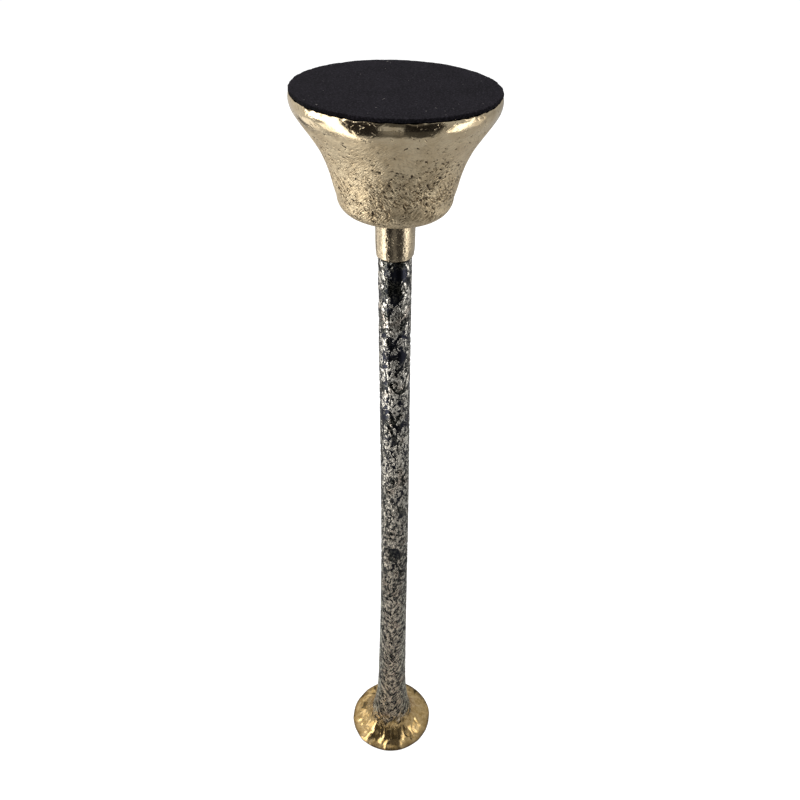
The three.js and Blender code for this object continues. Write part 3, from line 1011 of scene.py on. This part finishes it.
def build_surround(settings):
    """An even surround: white where it is seen directly, greyer where it lights the stand."""
    world = bpy.data.worlds.new("studio")
    world.use_nodes = True
    world.node_tree.nodes.clear()
    tree = Tree(world.node_tree)
    direct = tree.node("ShaderNodeLightPath", output="Is Camera Ray")
    seen = tree.mix(direct, color(settings.surround), color((1.0, 1.0, 1.0)))
    light = tree.node("ShaderNodeBackground", {}, {"Color": seen, "Strength": 1.0})
    tree.node("ShaderNodeOutputWorld", {}, {"Surface": light})
    bpy.context.scene.world = world


def build_stage(settings):
    scene = bpy.context.scene
    pale = floor_material("pale_floor", settings.floor, settings.glow)
    floor = wide_plane("floor", settings.floor_size, 0.0, pale)
    floor.visible_glossy = False
    floor.visible_diffuse = False
    floor.visible_shadow = False
    dark = floor_material("table", settings.table, settings.table_glow)
    table = wide_plane("table", settings.floor_size, -1 * MM, dark)
    table.visible_camera = False

    for card in CARDS:
        upright_card(*card)

    power = settings.power
    overhead = soft_light("overhead", 160, 0.9, 1.8, (1.6, 1.6), 26 * power, 0.2)
    front = soft_light("front", 0, 0.7, 2.0, (1.2, 1.2), 9 * power, 0.3)
    for light in (overhead, front):
        light.visible_glossy = False

    build_surround(settings)
    scene.view_settings.view_transform = "Standard"

    data = bpy.data.cameras.new("camera")
    data.sensor_width = 36
    data.lens = settings.lens
    data.shift_x = settings.shift
    data.clip_start, data.clip_end = 0.01, 50
    camera = bpy.data.objects.new("camera", data)
    scene.collection.objects.link(camera)
    turn = Matrix.Rotation(math.radians(90) - settings.pitch, 4, "X")
    camera.matrix_world = (Matrix.Translation(settings.place) @ turn
                           @ Matrix.Rotation(settings.roll, 4, "Z"))
    scene.camera = camera


def length_setting(name, description, default):
    return FloatProperty(name=name, description=description, unit="LENGTH", default=default)


def colour_setting(name, description, default):
    return FloatVectorProperty(
        name=name, description=description, subtype="COLOR", size=3, default=default, min=0, max=1)


class FeltSettings(bpy.types.PropertyGroup):
    tint: colour_setting("Tint", "Felt colour", (0.0072, 0.0066, 0.0084))
    waviness: length_setting("Waviness", "How far the cut edge wanders", 4.0 * MM)
    nap: length_setting("Nap", "Height of the felt's unevenness", 0.18 * MM)
    lint: FloatProperty(
        name="Lint", description="Pale fibres to a square metre of felt", default=4500.0)


class HeadSettings(bpy.types.PropertyGroup):
    tint: colour_setting("Tint", "Bronze colour of the head", (0.82, 0.695, 0.48))
    pit_depth: length_setting("Pit depth", "Depth of the casting pits", 0.4 * MM)
    waviness: length_setting("Waviness", "Unevenness left by filing", 0.5 * MM)
    grain: length_setting("Grain depth", "Height of the sandy skin", 0.25 * MM)


class CollarSettings(bpy.types.PropertyGroup):
    tint: colour_setting("Tint", "Bronze colour of the collar", (0.72, 0.61, 0.43))
    lip: length_setting("Lip unevenness", "How far the filed lip wanders", 2.2 * MM)


class StemSettings(bpy.types.PropertyGroup):
    ground: colour_setting("Ground", "Dark patina between the flakes", (0.028, 0.03, 0.044))
    gold: colour_setting("Gold", "Polished bronze of the flare", (0.83, 0.61, 0.305))
    relief: length_setting("Relief", "Depth of the ground below the flakes", 0.3 * MM)
    folds: length_setting("Folds", "Depth of the folds on the flare", 1.7 * MM)
    bow: length_setting("Bow", "How far the stem bends to one side", 1.2 * MM)


class StageSettings(bpy.types.PropertyGroup):
    floor: colour_setting("Floor", "Floor colour", (0.45, 0.45, 0.45))
    glow: FloatProperty(
        name="Glow", description="Light that the floor adds, which keeps it white", default=0.82)
    floor_size: length_setting("Floor size", "Half the floor's width", 12.0)
    table: colour_setting("Table", "Floor colour as the metal reflects it", (0.16, 0.155, 0.15))
    table_glow: FloatProperty(
        name="Table glow", description="Evens out the floor that the metal reflects", default=0.26)
    power: FloatProperty(name="Power", description="Scales every light", default=1.0)
    surround: colour_setting("Surround", "Colour of the light all round", (0.42, 0.42, 0.42))
    lens: FloatProperty(name="Lens", description="Focal length in millimetres", default=35.3)
    shift: FloatProperty(name="Shift", description="Sideways shift of the view", default=-0.0415)
    pitch: FloatProperty(
        name="Pitch", description="How far the camera looks down", unit="ROTATION",
        default=math.radians(36.48))
    roll: FloatProperty(
        name="Roll", description="Turn about the line of sight", unit="ROTATION",
        default=math.radians(2.58))
    place: FloatVectorProperty(
        name="Place", description="Where the camera stands", subtype="TRANSLATION", size=3,
        default=(0.0235, -0.3771, 0.6145))


class StandSettings(bpy.types.PropertyGroup):
    felt: PointerProperty(type=FeltSettings)
    head: PointerProperty(type=HeadSettings)
    collar: PointerProperty(type=CollarSettings)
    stem: PointerProperty(type=StemSettings)
    stage: PointerProperty(type=StageSettings)


class STAND_OT_stage(bpy.types.Operator):
    """Lay the floor, hang the lights and place the camera"""
    bl_idname = "stand.stage"
    bl_label = "Build Stage"

    def execute(self, context):
        build_stage(context.scene.stand.stage)
        return {"FINISHED"}


class STAND_OT_felt(bpy.types.Operator):
    """Cut the felt and lay it on the head"""
    bl_idname = "stand.felt"
    bl_label = "Build Felt"

    def execute(self, context):
        build_felt(context.scene.stand.felt)
        return {"FINISHED"}


class STAND_OT_head(bpy.types.Operator):
    """Cast the head, with its pits and polished rim"""
    bl_idname = "stand.head"
    bl_label = "Build Head"

    def execute(self, context):
        build_head(context.scene.stand.head)
        return {"FINISHED"}


class STAND_OT_collar(bpy.types.Operator):
    """Turn the collar and file its lip"""
    bl_idname = "stand.collar"
    bl_label = "Build Collar"

    def execute(self, context):
        build_collar(context.scene.stand.collar)
        return {"FINISHED"}


class STAND_OT_stem(bpy.types.Operator):
    """Cast the stem with its reticulated skin and flared foot"""
    bl_idname = "stand.stem"
    bl_label = "Build Stem"

    def execute(self, context):
        build_stem(context.scene.stand.stem)
        return {"FINISHED"}


class STAND_OT_fastenings(bpy.types.Operator):
    """Finish the hidden disc, screws, stud, washers and nut"""
    bl_idname = "stand.fastenings"
    bl_label = "Finish Fastenings"

    def execute(self, context):
        build_fastenings()
        return {"FINISHED"}


class STAND_PT_panel(bpy.types.Panel):
    """Buttons for each piece of the stand"""
    bl_idname = "STAND_PT_panel"
    bl_label = "Trumpet Stand"
    bl_space_type = "VIEW_3D"
    bl_region_type = "UI"
    bl_category = "Trumpet Stand"

    def draw(self, context):
        for operator in OPERATORS:
            self.layout.operator(operator.bl_idname)
        for name in ("felt", "head", "collar", "stem", "stage"):
            box = self.layout.box()
            box.label(text=name.title())
            settings = getattr(context.scene.stand, name)
            for key in settings.__annotations__:
                box.prop(settings, key)


OPERATORS = (STAND_OT_stage, STAND_OT_felt, STAND_OT_head, STAND_OT_collar, STAND_OT_stem,
             STAND_OT_fastenings)
GROUPS = (FeltSettings, HeadSettings, CollarSettings, StemSettings, StageSettings, StandSettings)
CLASSES = (*GROUPS, *OPERATORS, STAND_PT_panel)


def register():
    for item in CLASSES:
        bpy.utils.register_class(item)
    bpy.types.Scene.stand = PointerProperty(type=StandSettings)


def unregister():
    del bpy.types.Scene.stand
    for item in reversed(CLASSES):
        bpy.utils.unregister_class(item)


def main():
    register()
    bpy.ops.stand.stage()
    bpy.ops.stand.felt()
    bpy.ops.stand.head()
    bpy.ops.stand.collar()
    bpy.ops.stand.stem()
    bpy.ops.stand.fastenings()


if __name__ == "__main__":
    main()
